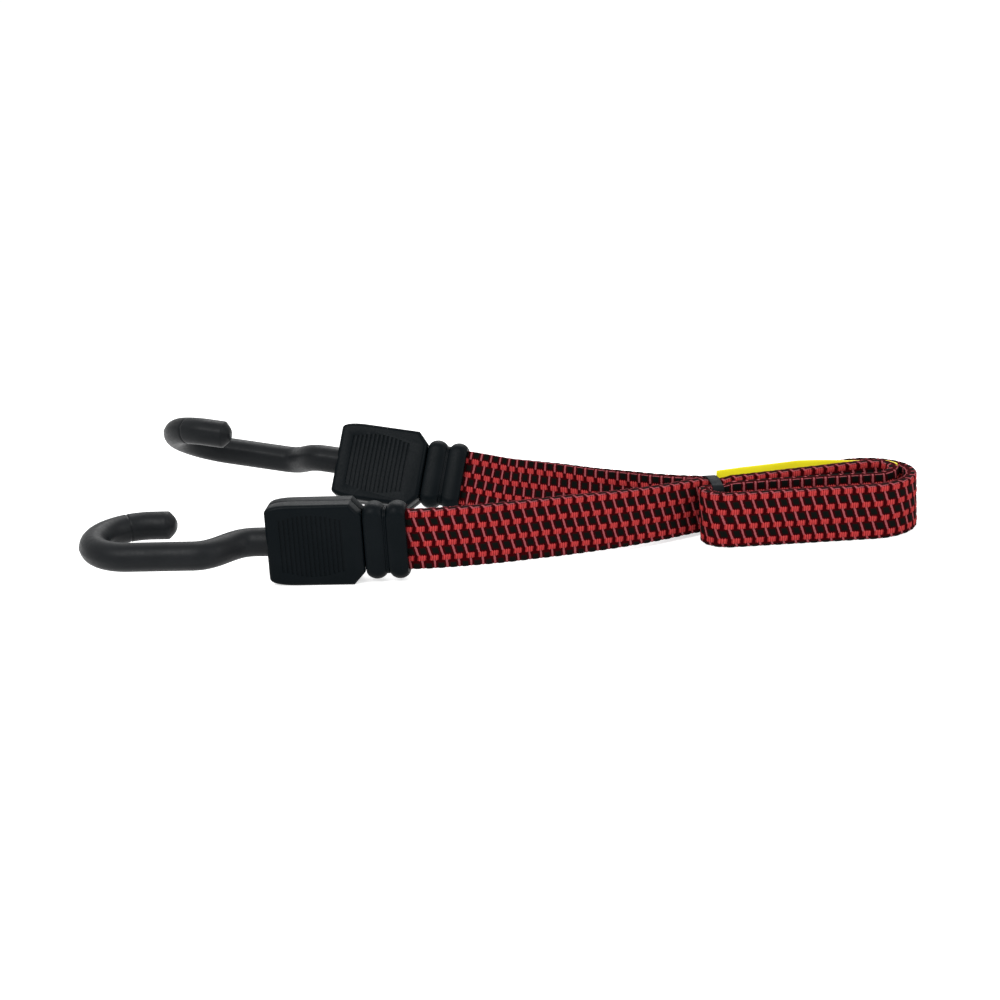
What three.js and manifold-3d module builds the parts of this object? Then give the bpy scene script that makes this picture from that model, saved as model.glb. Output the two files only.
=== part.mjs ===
// A flat elastic bungee cord, folded into a four-wall bundle and tied, with its two hook ends splayed in a V.
// Millimetres, +Z up. The strap stands on its lower edge. X runs along the walls of the bundle, with the
// hook ends at low X, and Y points away from the side that the bundle's front wall faces.
import * as THREE from 'three'
import { mergeVertices } from 'three/addons/utils/BufferGeometryUtils.js'
import Module from 'manifold-3d'

const wasm = await Module()
wasm.setup()

// Running gap between touching pieces, and how far a cutting body runs past what it cuts
const fitGap = 0.3
const overrun = 1

// Strap: a woven sheath over a flat rubber ribbon
const strap = {
  width: 18,
  thickness: 3.5,
  wall: 0.7,
  edgeChamfer: 0.9,
  coreChamfer: 0.3,
  layerGap: 0.5
}
const halfThickness = strap.thickness / 2
const restHeight = strap.width / 2
const layerPitch = strap.thickness + strap.layerGap

// Bundle: the walls from the front are N, M, B and D. The front bend joins M and N, the outer bend N and D,
// and the inner bend B and M. Radii are those of the strap's middle line. The outer bend wraps the inner one,
// with some room at its far side and a gap at its turn.
const bundle = {
  frontBendX: 66.65,
  frontBendTight: 4,
  frontBendWide: 8,
  innerBendRadius: 5.2,
  innerBendSetback: 1,
  outerBendX: 119.1,
  outerBendRoom: 5.6,
  outerBendGap: 1.75,
  wallBBow: 2.33,
  wallBRise: 1,
  splitX: 69,
  bendSteps: 12
}

// Tie: a narrow band round the walls M, B and D, which draws the strap's width in
const tie = {
  x: 71.6,
  length: 3.6,
  thickness: 0.6,
  nearSlack: 0.25,
  farSlack: 0.4,
  arch: 1.1,
  cornerRadius: 1.5,
  pinch: 1.8,
  pinchReach: 6
}

// Label card, bare, between the walls B and D. The top edge is given as shares of the card's length and of
// its tallest height: a low tongue under the tie, then the full height, then a rounded fall.
const card = {
  thickness: 0.45,
  bottom: 0.9,
  tallest: 20.9,
  startX: 70.4,
  endAngle: 6
}
const cardTopShares = [
  [0, 0.76],
  [0.05, 0.76],
  [0.07, 0.97],
  [0.12, 1],
  [0.45, 1],
  [0.62, 0.975],
  [0.72, 0.92],
  [0.8, 0.885],
  [1, 0.93]
]

// Fitting at each end: a collar, a two-shell head and a coated wire hook, all along one axis.
// Lengths are measured from the collar's mouth towards the hook, and insets from the head's strap end.
const head = {
  length: 31,
  height: 27,
  noseDrop: 4.1,
  cornerDrop: 3.9,
  cornerLength: 3.6,
  shoulderShare: 0.5,
  thickness: 10.4,
  edgeRound: 1.5,
  endWall: 2.5,
  partGap: 0.3
}
const grip = {
  inset: 5.6,
  count: 14,
  pitch: 1.5,
  ridgeWidth: 0.75,
  depth: 0.4,
  margin: 3.25,
  endDrop: 2.5
}
const collar = {
  length: 13.7,
  ribHeight: 24,
  grooveHeight: 22.3,
  ribThickness: 9.2,
  grooveThickness: 8,
  ribs: 2,
  stepsPerRib: 6,
  cornerShare: 0.8,
  sectionSteps: 4
}
const clamp = {
  inset: 3,
  length: 8,
  wall: 1.2
}
const hook = {
  wireRadius: 2.8,
  coatRadius: 4.66,
  coatDepth: 4,
  anchorLength: 3,
  anchorRadius: 3.8,
  anchorGap: 4,
  shankLength: 4.5,
  jogLength: 14.1,
  jog: 12.1,
  legLength: 24.5,
  bendRadius: 15.1,
  tipLength: 6.7,
  tipCap: 2.2,
  tipRound: 1.3,
  steps: 44,
  sides: 12,
  wireSides: 8
}

// Places along an end that follow from those sizes
const headStart = collar.length + fitGap
const nose = headStart + head.length
const clampStart = headStart + clamp.inset
const clampEnd = clampStart + clamp.length
const gripStart = headStart + grip.inset
const coatStart = nose - hook.coatDepth
const anchorStart = clampEnd + hook.anchorGap
const shankEnd = nose + hook.shankLength
const jogEnd = shankEnd + hook.jogLength
const legEnd = jogEnd + hook.legLength

// How the two ends lie: the collar's mouth, the turn about the vertical, the rise and the lean of the strap
const frontEnd = {
  mouth: [-29.7, -12, head.height / 2],
  yaw: 7.3,
  pitch: 0,
  lean: -1.5
}
const backEnd = {
  mouth: [-12, 59, 11.4],
  yaw: 11.8,
  pitch: 8.5,
  lean: 28.5
}

// Free arms of the strap, from the bundle to the collar's mouth: X, Y, height of the middle and lean of the
// top edge in degrees, away from the front
const frontArmRoute = [
  [66, 17, 10.05, 0],
  [60.5, 14.2, 10.2, 0],
  [51.2, 9.4, 10.5, 0],
  [38.1, 3.9, 11, 0],
  [24.8, -0.4, 11.5, 0],
  [11.8, -4.2, 12, 0],
  [-1.2, -8, 12.5, 0],
  [-13.9, -11, 13.1, -0.7],
  [-22, -12.2, 13.4, -1.2]
]
const backArmRoute = [
  [66, 22.6, 9.05, 0],
  [57, 25.2, 9.15, 0],
  [50.4, 27.5, 9.2, 0.5],
  [44, 30.1, 9.3, 2],
  [34.1, 33.8, 9.4, 5.5],
  [27.6, 36.8, 9.4, 8.5],
  [17.6, 42.4, 9.5, 13.5],
  [7.6, 48.7, 9.7, 18.5],
  [0.8, 52.9, 10, 22.5],
  [-6, 56.8, 10.6, 26]
]
const leadShare = 0.36
const armSteps = 14
const leadSteps = 8
const runSteps = 5

const up = new THREE.Vector3(0, 0, 1)
const outOfTie = new THREE.Vector3(-1, 0, 0)
const rad = THREE.MathUtils.degToRad
const mm = (x, y, z) => new THREE.Vector3(x, y, z)

// Materials
const finish = (color, roughness, metalness) => {
  return new THREE.MeshStandardMaterial({ color, roughness, metalness })
}
const woven = finish('#c8343a', 0.85, 0)
const rubber = finish('#2b2a28', 0.8, 0)
const moulded = finish('#14191b', 0.5, 0)
const coating = finish('#26292b', 0.42, 0)
const steel = finish('#9a9c9e', 0.35, 1)
const banding = finish('#323c44', 0.6, 0)
const board = finish('#ebe12a', 0.55, 0)

// Solids for cutting and joining
function toSolid(geometry) {
  const bare = geometry.clone()
  for (const name of Object.keys(bare.attributes)) {
    if (name !== 'position') bare.deleteAttribute(name)
  }
  const merged = mergeVertices(bare, 1e-4)
  const mesh = new wasm.Mesh({
    numProp: 3,
    vertProperties: new Float32Array(merged.attributes.position.array),
    triVerts: new Uint32Array(merged.index.array)
  })
  mesh.merge()
  return new wasm.Manifold(mesh)
}

function toGeometry(solid) {
  const mesh = solid.getMesh()
  const geometry = new THREE.BufferGeometry()
  geometry.setAttribute('position', new THREE.BufferAttribute(new Float32Array(mesh.vertProperties), 3))
  geometry.setIndex(new THREE.BufferAttribute(new Uint32Array(mesh.triVerts), 1))
  geometry.computeVertexNormals()
  return geometry
}

// Box between two corners
function box(low, high) {
  const size = high.clone().sub(low)
  const geometry = new THREE.BoxGeometry(size.x, size.y, size.z)
  geometry.translate((low.x + high.x) / 2, (low.y + high.y) / 2, (low.z + high.z) / 2)
  return toSolid(geometry)
}

// Round rod along X between two places
function rod(radius, from, to, sides) {
  const geometry = new THREE.CylinderGeometry(radius, radius, to - from, sides)
  geometry.rotateZ(Math.PI / 2)
  geometry.translate((from + to) / 2, 0, 0)
  return toSolid(geometry)
}

// Closed body through rings of points. With a second set of rings inside it, the body is an open sleeve.
function loft(outer, inner) {
  const count = outer[0].length
  const last = outer.length - 1
  const points = [...outer.flat(), ...(inner ? inner.flat() : [])]
  const at = (layer, ring, k) => (layer * outer.length + ring) * count + (k % count)
  const index = []
  const quad = (a, b, c, d) => index.push(a, b, c, a, c, d)
  for (let ring = 0; ring < last; ring++) {
    for (let k = 0; k < count; k++) {
      quad(at(0, ring, k), at(0, ring, k + 1), at(0, ring + 1, k + 1), at(0, ring + 1, k))
      if (inner) quad(at(1, ring, k), at(1, ring + 1, k), at(1, ring + 1, k + 1), at(1, ring, k + 1))
    }
  }
  if (inner) {
    for (let k = 0; k < count; k++) {
      quad(at(0, 0, k), at(1, 0, k), at(1, 0, k + 1), at(0, 0, k + 1))
      quad(at(0, last, k), at(0, last, k + 1), at(1, last, k + 1), at(1, last, k))
    }
  } else {
    for (let k = 1; k < count - 1; k++) {
      index.push(at(0, 0, 0), at(0, 0, k + 1), at(0, 0, k))
      index.push(at(0, last, 0), at(0, last, k), at(0, last, k + 1))
    }
  }
  const geometry = new THREE.BufferGeometry().setFromPoints(points)
  geometry.setIndex(index)
  geometry.computeVertexNormals()
  return geometry
}

// Flat section with cut corners: pairs of places across the thickness and across the width
function flatSection(halfThick, halfWide, chamfer) {
  return [
    [halfThick, -halfWide + chamfer],
    [halfThick, halfWide - chamfer],
    [halfThick - chamfer, halfWide],
    [-halfThick + chamfer, halfWide],
    [-halfThick, halfWide - chamfer],
    [-halfThick, -halfWide + chamfer],
    [-halfThick + chamfer, -halfWide],
    [halfThick - chamfer, -halfWide]
  ]
}

// Stations along a run of the strap: the middle, the run's direction and the direction of the strap's width
function stationsOf(points, leans, startWay, endWay) {
  return points.map((middle, i) => {
    const before = points[Math.max(i - 1, 0)]
    const after = points[Math.min(i + 1, points.length - 1)]
    let way = after.clone().sub(before).normalize()
    if (i === 0 && startWay) way = startWay.clone()
    if (i === points.length - 1 && endWay) way = endWay.clone()
    const level = mm(-way.y, way.x, 0).normalize()
    if (level.y < 0) level.negate()
    const upright = up.clone().addScaledVector(way, -up.dot(way)).normalize()
    const lean = rad(leans ? leans[i] : 0)
    const across = upright.multiplyScalar(Math.cos(lean)).addScaledVector(level, Math.sin(lean))
    return { middle, way, across }
  })
}

// Half the strap's width at a place, drawn in under the tie
function halfWidthAt(middle) {
  const away = Math.abs(middle.x - tie.x) / tie.pinchReach
  const underTie = away < 1 && middle.y > wallN + bundle.frontBendWide
  const pinch = underTie ? tie.pinch * Math.cos(away * Math.PI / 2) ** 2 : 0
  return (strap.width - pinch) / 2
}

function sectionRings(stations, inset, chamfer) {
  return stations.map(({ middle, way, across }) => {
    const side = new THREE.Vector3().crossVectors(across, way)
    const section = flatSection(halfThickness - inset, halfWidthAt(middle) - inset, chamfer)
    return section.map(([t, w]) => middle.clone().addScaledVector(side, t).addScaledVector(across, w))
  })
}

const sheath = (stations) => loft(
  sectionRings(stations, 0, strap.edgeChamfer),
  sectionRings(stations, strap.wall, strap.edgeChamfer - strap.wall / 2)
)
const core = (stations) => loft(sectionRings(stations, strap.wall + fitGap, strap.coreChamfer))

// Cuts half a running gap off each end of a run, so that runs meet face to face
function openEnds(points) {
  const first = points[0].clone()
  const last = points[points.length - 1].clone()
  first.add(points[1].clone().sub(first).setLength(fitGap / 2))
  last.add(points[points.length - 2].clone().sub(last).setLength(fitGap / 2))
  return [first, ...points.slice(1, -1), last]
}

const smooth = (points) => new THREE.CatmullRomCurve3(points, false, 'centripetal')
const arc = (x, y, radius, from, to, startRise = 0) => {
  return Array.from({ length: bundle.bendSteps + 1 }, (_, i) => {
    const part = i / bundle.bendSteps
    const angle = rad(from + (to - from) * part)
    const height = restHeight + startRise * (1 - part)
    return mm(x + radius * Math.cos(angle), y + radius * Math.sin(angle), height)
  })
}

// Slope in degrees of the line from a place to the far side of a bend
function tangentTilt(from, centre, radius) {
  const reach = centre.clone().sub(from)
  return THREE.MathUtils.radToDeg(Math.atan2(reach.y, reach.x) + Math.asin(radius / reach.length()))
}

// Where the walls pass the tie, counted from the front wall
const wallN = halfThickness
const wallM = wallN + bundle.frontBendTight + bundle.frontBendWide
const wallB = wallM + layerPitch
const wallD = wallB + strap.thickness + card.thickness + 2 * fitGap
const innerBendY = wallM + bundle.innerBendSetback + bundle.innerBendRadius
const outerFarSide = innerBendY + bundle.innerBendRadius + strap.thickness + bundle.outerBendRoom
const outerBendRadius = (outerFarSide - wallN) / 2
const outerBendY = wallN + outerBendRadius
const turnGap = strap.thickness + bundle.outerBendGap
const innerBendX = bundle.outerBendX + outerBendRadius - turnGap - bundle.innerBendRadius
const riseB = restHeight + bundle.wallBRise

// Places where walls B and D leave the tie, and their slopes in degrees from there to their bends
const nearTie = tie.x + tie.pinchReach
const nearTieB = wallB + strap.layerGap / 2
const nearTieD = wallD + strap.layerGap
const wallBTilt = bundle.wallBBow + tangentTilt(
  mm(nearTie, nearTieB, 0),
  mm(innerBendX, innerBendY, 0),
  bundle.innerBendRadius
)
const wallDTilt = tangentTilt(
  mm(nearTie, nearTieD, 0),
  mm(bundle.outerBendX, outerBendY, 0),
  outerBendRadius
)

// Wall B, from the front arm's split to the inner bend, then round the inner bend, along wall M, round the
// front bend, along wall N, round the outer bend and back along wall D to the back arm's split
const innerBend = arc(innerBendX, innerBendY, bundle.innerBendRadius, 90 + wallBTilt, -90, bundle.wallBRise)
const frontArc = (y, radius, from, to) => arc(bundle.frontBendX + radius, y, radius, from, to)
const frontBend = [
  ...frontArc(wallM - bundle.frontBendTight, bundle.frontBendTight, 90, 180),
  ...frontArc(wallN + bundle.frontBendWide, bundle.frontBendWide, 180, 270).slice(1)
].filter((_, i) => i % 2 === 0)

const outerBend = arc(bundle.outerBendX, outerBendY, outerBendRadius, -90, 90 + wallDTilt)

// Place along X where walls B and D have become straight
const runOut = nearTie + outerBendRadius + bundle.innerBendRadius
const bendStartB = innerBend[0]
const bendEndD = outerBend[bundle.bendSteps]
const onLine = (point, tilt, x) => point.y - (point.x - x) * Math.tan(rad(tilt))
const splitFront = mm(bundle.splitX, wallB, riseB)
const splitBack = mm(bundle.splitX, wallD, restHeight)
const wallBRoute = smooth([
  splitFront,
  mm(tie.x, wallB, riseB),
  mm(nearTie, nearTieB, riseB),
  mm(runOut, onLine(bendStartB, wallBTilt, runOut), riseB),
  bendStartB
])
const wallMRoute = smooth([
  innerBend[bundle.bendSteps],
  mm(runOut - bundle.innerBendRadius, wallM + bundle.innerBendSetback, restHeight),
  mm(nearTie, wallM + bundle.innerBendSetback / 4, restHeight),
  frontBend[0]
])
const wallDRoute = smooth([
  bendEndD,
  mm(runOut, onLine(bendEndD, wallDTilt, runOut), restHeight),
  mm(nearTie, nearTieD, restHeight),
  mm(tie.x, wallD, restHeight),
  splitBack
])
const wallSteps = 3 * runSteps
const hankPoints = [
  ...wallBRoute.getSpacedPoints(wallSteps).slice(0, -1),
  ...innerBend,
  ...wallMRoute.getSpacedPoints(wallSteps).slice(1, -1),
  ...frontBend,
  ...outerBend,
  ...wallDRoute.getSpacedPoints(wallSteps).slice(1)
]

// Least gap between layers of the bundle, measured between points along its route that lie apart on it
function leastGap(points) {
  const line = new THREE.CurvePath()
  for (let i = 1; i < points.length; i++) line.add(new THREE.LineCurve3(points[i - 1], points[i]))
  const length = line.getLength()
  const count = Math.round(length)
  const places = line.getSpacedPoints(count)
  const apart = Math.ceil(Math.PI * bundle.innerBendRadius * count / length)
  let least = Infinity
  for (let i = 0; i < count; i++) {
    for (let j = i + apart; j <= count; j++) least = Math.min(least, places[i].distanceTo(places[j]))
  }
  return { gap: least - strap.thickness, length }
}

// Places one end group, whose X runs from the collar's mouth to the hook and whose Y faces the jog
function placeEnd(group, end, turned) {
  group.rotation.set(rad(end.lean + (turned ? 180 : 0)), rad(-end.pitch), Math.PI - rad(end.yaw), 'ZYX')
  group.position.set(...end.mouth)
}

function endWay(end) {
  const flat = Math.cos(rad(end.pitch))
  return mm(-Math.cos(rad(end.yaw)) * flat, Math.sin(rad(end.yaw)) * flat, Math.sin(rad(end.pitch)))
}

// One arm: a smooth run from the split to the collar's mouth, cut into the arm and the lead beside the collar
function armRuns(split, splitLean, route, end) {
  const mouth = mm(...end.mouth)
  const guide = mouth.clone().addScaledVector(endWay(end), collar.length)
  const places = [split, ...route.map(([x, y, z]) => mm(x, y, z)), mouth, guide]
  const line = smooth(places)
  const lean = [splitLean, ...route.map((point) => point[3]), end.lean, end.lean]
  const share = (places.length - 2) / (places.length - 1)
  const sample = (from, to, steps) => {
    const points = []
    const leans = []
    for (let i = 0; i <= steps; i++) {
      const t = share * (from + (to - from) * i / steps)
      const slot = Math.min(Math.floor(t * (places.length - 1)), places.length - 2)
      const part = t * (places.length - 1) - slot
      points.push(line.getPoint(t))
      leans.push(lean[slot] + (lean[slot + 1] - lean[slot]) * part)
    }
    return { points: openEnds(points), leans }
  }
  const arm = sample(0, 1 - leadShare, armSteps)
  const lead = sample(1 - leadShare, 1, leadSteps)
  return {
    arm: stationsOf(arm.points, arm.leans, outOfTie),
    lead: stationsOf(lead.points, lead.leans, null, endWay(end))
  }
}

// Hook's middle line in its own plane: shank, jog, leg, round bend and tip
function hookLine(from, cutBack) {
  const midX = (shankEnd + jogEnd) / 2
  const line = new THREE.CurvePath()
  const tipX = legEnd - hook.tipLength + cutBack
  line.add(new THREE.LineCurve3(mm(from, 0, 0), mm(shankEnd, 0, 0)))
  line.add(new THREE.CubicBezierCurve3(
    mm(shankEnd, 0, 0),
    mm(midX, 0, 0),
    mm(midX, hook.jog, 0),
    mm(jogEnd, hook.jog, 0)
  ))
  line.add(new THREE.LineCurve3(mm(jogEnd, hook.jog, 0), mm(legEnd, hook.jog, 0)))
  line.add(new HookBend())
  line.add(new THREE.LineCurve3(
    mm(legEnd, hook.jog - 2 * hook.bendRadius, 0),
    mm(tipX, hook.jog - 2 * hook.bendRadius, 0)
  ))
  return line
}

// Half circle of the hook
class HookBend extends THREE.Curve {
  getPoint(t, target = new THREE.Vector3()) {
    const angle = Math.PI / 2 - Math.PI * t
    return target.set(
      legEnd + hook.bendRadius * Math.cos(angle),
      hook.jog - hook.bendRadius + hook.bendRadius * Math.sin(angle),
      0
    )
  }
}

function roundBar(line, radius, sides, steps) {
  const section = new THREE.Shape()
  for (let i = 0; i < sides; i++) {
    const angle = 2 * Math.PI * (i + 1 / 2) / sides
    const x = radius * Math.cos(angle)
    const y = radius * Math.sin(angle)
    if (i === 0) section.moveTo(x, y)
    else section.lineTo(x, y)
  }
  section.closePath()
  return toSolid(new THREE.ExtrudeGeometry(section, { steps, bevelEnabled: false, extrudePath: line }))
}

// Coated wire: the coating closes over the tip, and its bore holds the steel wire
function hookCoating() {
  const body = roundBar(hookLine(coatStart, 0), hook.coatRadius, hook.sides, hook.steps)
  const tipY = hook.jog - 2 * hook.bendRadius
  const tipRadius = hook.coatRadius - hook.tipRound
  const tip = new THREE.CylinderGeometry(hook.coatRadius, tipRadius, hook.tipRound, hook.sides)
  tip.rotateY(Math.PI / hook.sides)
  tip.rotateZ(-Math.PI / 2)
  tip.translate(legEnd - hook.tipLength - hook.tipRound / 2, tipY, 0)
  const bore = roundBar(hookLine(coatStart - overrun, hook.tipCap), hook.wireRadius + fitGap,
    hook.wireSides, hook.steps)
  return toGeometry(body.add(toSolid(tip)).subtract(bore))
}

// Steel wire with an upset button, which the head holds
function hookWire() {
  const wire = roundBar(hookLine(anchorStart, hook.tipCap + 2 * fitGap), hook.wireRadius, hook.wireSides,
    hook.steps)
  const button = rod(hook.anchorRadius, anchorStart, anchorStart + hook.anchorLength, hook.sides)
  return toGeometry(wire.add(button))
}

// Outline of the head in its own plane, with its shoulder beside the collar and its nose at the hook
function headOutline() {
  const shoulder = headStart + head.length * head.shoulderShare
  const half = head.height / 2
  const noseHalf = half - head.noseDrop
  const cornerHalf = half - head.cornerDrop
  const shape = new THREE.Shape()
  shape.moveTo(headStart, -cornerHalf)
  shape.lineTo(headStart + head.cornerLength, -half)
  shape.lineTo(shoulder, -half)
  shape.quadraticCurveTo(nose, -half, nose, -noseHalf)
  shape.lineTo(nose, noseHalf)
  shape.quadraticCurveTo(nose, half, shoulder, half)
  shape.lineTo(headStart + head.cornerLength, half)
  shape.lineTo(headStart, cornerHalf)
  shape.closePath()
  return shape
}

// Turns an outline drawn in X and Z, extruded along the thickness, into the end's own axes
function standUp(geometry, depth) {
  geometry.translate(0, 0, -depth / 2)
  geometry.rotateX(Math.PI / 2)
  return geometry
}

// Hollow inside of the head: strap slot, clamp pocket, wire pocket, neck for the wire, bore for the coating
function headHollow() {
  const slotHalf = strap.width / 2 + fitGap
  const slotThick = halfThickness + fitGap
  const pocketHalf = slotHalf + clamp.wall + fitGap
  const pocketThick = slotThick + clamp.wall + fitGap
  const wireHalf = hook.anchorRadius + fitGap
  const pocketStart = headStart + head.endWall
  const pocketEnd = clampEnd + head.endWall
  const slotEnd = pocketStart + fitGap
  const slot = box(mm(headStart - overrun, -slotThick, -slotHalf), mm(slotEnd, slotThick, slotHalf))
  const pocket = box(mm(pocketStart, -pocketThick, -pocketHalf), mm(pocketEnd, pocketThick, pocketHalf))
  const wirePocket = rod(wireHalf, pocketEnd - overrun, anchorStart + hook.anchorLength + fitGap, hook.sides)
  const neck = rod(hook.wireRadius + 2 * fitGap, anchorStart, nose, hook.sides)
  const bore = rod(hook.coatRadius + fitGap, coatStart - fitGap, nose + overrun, hook.sides)
  return slot.add(pocket).add(wirePocket).add(neck).add(bore)
}

// Half the grip's height at a place along it, an arch that is tallest in the middle
function gripHalf(x) {
  const length = (grip.count - 1) * grip.pitch
  const across = (2 * (x - gripStart) - length) / length
  return head.height / 2 - grip.margin - grip.endDrop * across ** 2
}

// Fine upright ridges that stand in a shallow recess on the face of a shell
function gripCuts(side) {
  const face = side * head.thickness / 2
  const bottom = face - side * grip.depth
  const cuts = []
  for (let i = 0; i <= grip.count; i++) {
    const middle = gripStart + (i - 1 / 2) * grip.pitch
    const half = gripHalf(Math.min(Math.max(middle, gripStart), gripStart + (grip.count - 1) * grip.pitch))
    const wide = (grip.pitch - grip.ridgeWidth) / 2
    const low = Math.min(bottom, face + side * overrun)
    const high = Math.max(bottom, face + side * overrun)
    cuts.push(box(mm(middle - wide, low, -half), mm(middle + wide, high, half)))
  }
  return cuts
}

function headShell(side) {
  const depth = head.thickness - 2 * head.edgeRound
  const block = toSolid(standUp(new THREE.ExtrudeGeometry(headOutline(), {
    depth,
    bevelThickness: head.edgeRound,
    bevelSize: head.edgeRound,
    bevelOffset: -head.edgeRound,
    bevelSegments: 2,
    curveSegments: 6
  }), depth))
  const reach = head.height
  const low = side > 0 ? head.partGap / 2 : -reach
  const high = side > 0 ? reach : -head.partGap / 2
  const half = box(mm(0, low, -reach), mm(nose + reach, high, reach))
  let shell = block.intersect(half).subtract(headHollow())
  for (const cut of gripCuts(side)) shell = shell.subtract(cut)
  return toGeometry(shell)
}

// Collar: a soft sleeve with bulged ribs, whose slot holds the strap
function collarSleeve() {
  const steps = collar.ribs * collar.stepsPerRib
  const rings = []
  for (let i = 0; i <= steps; i++) {
    const bulge = Math.abs(Math.sin(Math.PI * i / collar.stepsPerRib)) ** (1 / 2)
    const halfHigh = (collar.grooveHeight + (collar.ribHeight - collar.grooveHeight) * bulge) / 2
    const halfThick = (collar.grooveThickness + (collar.ribThickness - collar.grooveThickness) * bulge) / 2
    rings.push(roundedRing(collar.length * i / steps, halfThick, halfHigh))
  }
  const slotHalf = strap.width / 2 + fitGap
  const slotThick = halfThickness + fitGap
  const slot = box(mm(-overrun, -slotThick, -slotHalf), mm(collar.length + overrun, slotThick, slotHalf))
  return toGeometry(toSolid(loft(rings)).subtract(slot))
}

// Ring across X with well rounded corners
function roundedRing(x, halfThick, halfHigh) {
  const radius = halfThick * collar.cornerShare
  const ring = []
  const corners = [[1, -1, -90], [1, 1, 0], [-1, 1, 90], [-1, -1, 180]]
  for (const [sideY, sideZ, start] of corners) {
    for (let i = 0; i <= collar.sectionSteps; i++) {
      const angle = rad(start + 90 * i / collar.sectionSteps)
      ring.push(mm(
        x,
        sideY * (halfThick - radius) + radius * Math.cos(angle),
        sideZ * (halfHigh - radius) + radius * Math.sin(angle)
      ))
    }
  }
  return ring
}

// Steel clamp crimped round the strap's end, too wide to pass the head's slot
function strapClamp() {
  const innerHalf = strap.width / 2 + fitGap
  const innerThick = halfThickness + fitGap
  const outer = box(
    mm(clampStart, -innerThick - clamp.wall, -innerHalf - clamp.wall),
    mm(clampEnd, innerThick + clamp.wall, innerHalf + clamp.wall)
  )
  const inner = box(
    mm(clampStart - overrun, -innerThick, -innerHalf),
    mm(clampEnd + overrun, innerThick, innerHalf)
  )
  return toGeometry(outer.subtract(inner))
}

// The strap's own end, inside the fitting
function tailStations() {
  const points = [mm(fitGap / 2, 0, 0), mm(clampEnd, 0, 0)]
  return points.map((middle) => ({ middle, way: mm(1, 0, 0), across: up.clone() }))
}

// Band round the walls M, B and D
function tieBand() {
  const near = wallM - halfThickness - fitGap - tie.nearSlack - tie.thickness
  const far = wallD + halfThickness + fitGap + tie.farSlack + tie.thickness
  const ring = (inset, radius) => {
    const shape = new THREE.Path()
    const top = strap.width - tie.pinch / 2 + fitGap + tie.thickness - inset
    const bottom = tie.pinch / 2 - fitGap - tie.thickness + inset
    const y0 = near + inset
    const y1 = far - inset
    shape.moveTo(y0 + radius, bottom)
    shape.lineTo(y1 - radius, bottom)
    shape.quadraticCurveTo(y1, bottom, y1, bottom + radius)
    shape.lineTo(y1, top - radius)
    shape.quadraticCurveTo(y1, top, y1 - radius, top)
    shape.quadraticCurveTo((y0 + y1) / 2, top + 2 * tie.arch, y0 + radius, top)
    shape.quadraticCurveTo(y0, top, y0, top - radius)
    shape.lineTo(y0, bottom + radius)
    shape.quadraticCurveTo(y0, bottom, y0 + radius, bottom)
    return shape
  }
  const outline = new THREE.Shape(ring(0, tie.cornerRadius).getPoints(4))
  outline.holes.push(ring(tie.thickness, tie.cornerRadius - tie.thickness))
  const settings = { depth: tie.length, bevelEnabled: false, curveSegments: 4 }
  const geometry = new THREE.ExtrudeGeometry(outline, settings)
  geometry.applyMatrix4(new THREE.Matrix4().makeBasis(mm(0, 1, 0), mm(0, 0, 1), mm(1, 0, 0)))
  geometry.translate(tie.x - tie.length / 2, 0, 0)
  return geometry
}

// Card along the near face of wall D, then round the back of the inner bend
function labelCard() {
  const offset = halfThickness + fitGap + card.thickness / 2
  const bend = arc(innerBendX, innerBendY, bundle.innerBendRadius + offset,
    90 + wallBTilt, card.endAngle)
  const beside = stationsOf(wallDRoute.getSpacedPoints(2 * wallSteps))
    .filter(({ middle }) => middle.x > card.startX && middle.x < runOut)
    .map(({ middle, way }) => mm(middle.x - way.y * offset, middle.y + way.x * offset, 0))
    .reverse()
  const flatBend = bend.map((point) => point.setZ(0))
  const across = smooth([...beside.slice(-2), ...flatBend.slice(0, 2)])
    .getPoints(wallSteps)
    .slice(runSteps + 1, -runSteps - 1)
  const points = [...beside, ...across, ...flatBend]
  const length = points.slice(1).reduce((sum, point, i) => sum + point.distanceTo(points[i]), 0)
  let gone = 0
  const rings = stationsOf(points).map(({ middle, way }, i) => {
    if (i > 0) gone += middle.distanceTo(points[i - 1])
    const side = mm(way.y, -way.x, 0).multiplyScalar(card.thickness / 2)
    const top = card.tallest * shareAt(cardTopShares, gone / length)
    return [
      middle.clone().sub(side).setZ(card.bottom),
      middle.clone().sub(side).setZ(top),
      middle.clone().add(side).setZ(top),
      middle.clone().add(side).setZ(card.bottom)
    ]
  })
  return loft(rings)
}

// Straight-line reading of a list of shares
function shareAt(shares, along) {
  const next = Math.max(shares.findIndex(([place]) => place >= along), 1)
  const [fromPlace, fromValue] = shares[next - 1]
  const [toPlace, toValue] = shares[next]
  return fromValue + (toValue - fromValue) * (along - fromPlace) / (toPlace - fromPlace)
}

// Assembly
const part = new THREE.Group()

function addPiece(group, name, geometry, material) {
  const mesh = new THREE.Mesh(geometry, material)
  mesh.name = name
  group.add(mesh)
}

const hankStations = stationsOf(openEnds(hankPoints), null, outOfTie.clone().negate(), outOfTie)
addPiece(part, 'hank_strap', sheath(hankStations), woven)
addPiece(part, 'hank_core', core(hankStations), rubber)
addPiece(part, 'bundle_tie', tieBand(), banding)
addPiece(part, 'label_card', labelCard(), board)

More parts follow.
